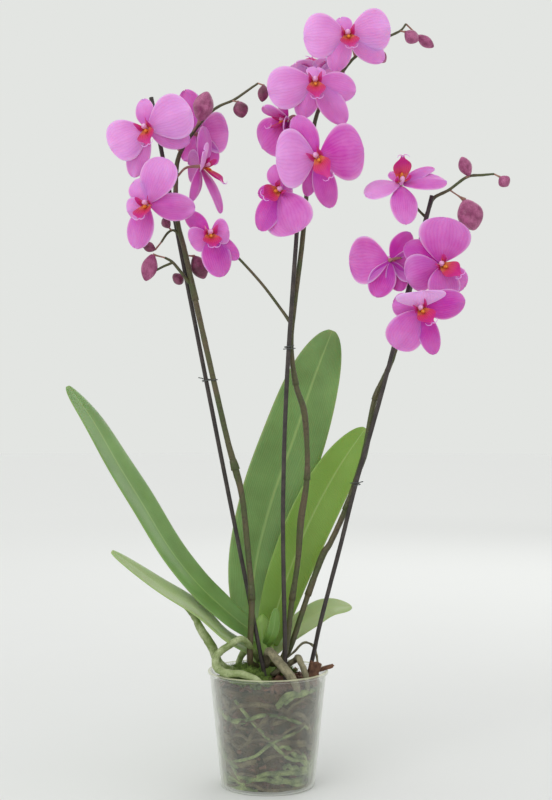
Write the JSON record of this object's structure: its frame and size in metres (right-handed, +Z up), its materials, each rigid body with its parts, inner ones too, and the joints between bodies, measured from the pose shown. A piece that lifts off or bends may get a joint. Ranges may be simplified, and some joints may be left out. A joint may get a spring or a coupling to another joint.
{
  "type": "potted orchid",
  "caption": "Pink moth orchid with staked flower spikes, buds, strap leaves and aerial roots, growing in bark mix in a clear tapered nursery pot.",
  "frame": {"origin": "centre of the pot's base, on the surface it stands on", "axes": "+Z up along the pot's axis; the flowers look towards -Y"},
  "size_m": [0.4428, 0.1404, 0.7658],
  "materials": {
    "clear_plastic": "clear frosted polypropylene",
    "potting_mix": "rough damp bark mix",
    "moss": "soft and matt",
    "bark": "rough",
    "root": "satin, silvery green",
    "leaf": "waxy semi-gloss",
    "spike": "satin",
    "stake": "matt",
    "tie": "matt",
    "flower": "soft satin, veined",
    "bud": "satin"
  },
  "bodies": {
    "root": {"pot": "clear_plastic", "potting_mix": "potting_mix", "moss_clump": "moss", "bark_chip_tall": "bark", "bark_chip_flat": "bark", "bark_chip_stick": "bark", "bark_chip_back": "bark", "root_upright": "root", "root_loop": "root", "root_front": "root", "root_side": "root", "root_thin": "root", "root_back": "root", "crown": "leaf", "leaf_left_long": "leaf", "leaf_left_low": "leaf", "leaf_centre": "leaf", "leaf_right": "leaf", "leaf_right_low": "leaf", "leaf_young": "leaf", "spike_left": "spike", "spike_centre": "spike", "spike_right": "spike", "stake_left": "stake", "stake_centre": "stake", "stake_right": "stake", "tie_left": "tie", "tie_centre": "tie", "tie_right": "tie", "flower_left_1": "flower", "flower_left_2": "flower", "flower_left_3": "flower", "flower_left_4": "flower", "flower_left_5": "flower", "flower_centre_1": "flower", "flower_centre_2": "flower", "flower_centre_3": "flower", "flower_centre_4": "flower", "flower_centre_5": "flower", "flower_centre_6": "flower", "flower_right_1": "flower", "flower_right_2": "flower", "flower_right_3": "flower", "flower_right_4": "flower", "bud_left_big": "bud", "bud_left_mid": "bud", "bud_left_tip": "bud", "bud_left_dark_1": "bud", "bud_left_dark_2": "bud", "bud_left_hanging": "bud", "bud_left_dark_3": "bud", "bud_left_dark_4": "bud", "bud_centre_low": "bud", "bud_centre_mid": "bud", "bud_centre_tip": "bud", "bud_right_big": "bud", "bud_right_top": "bud", "bud_right_tip": "bud"}
  },
  "joints": []
}
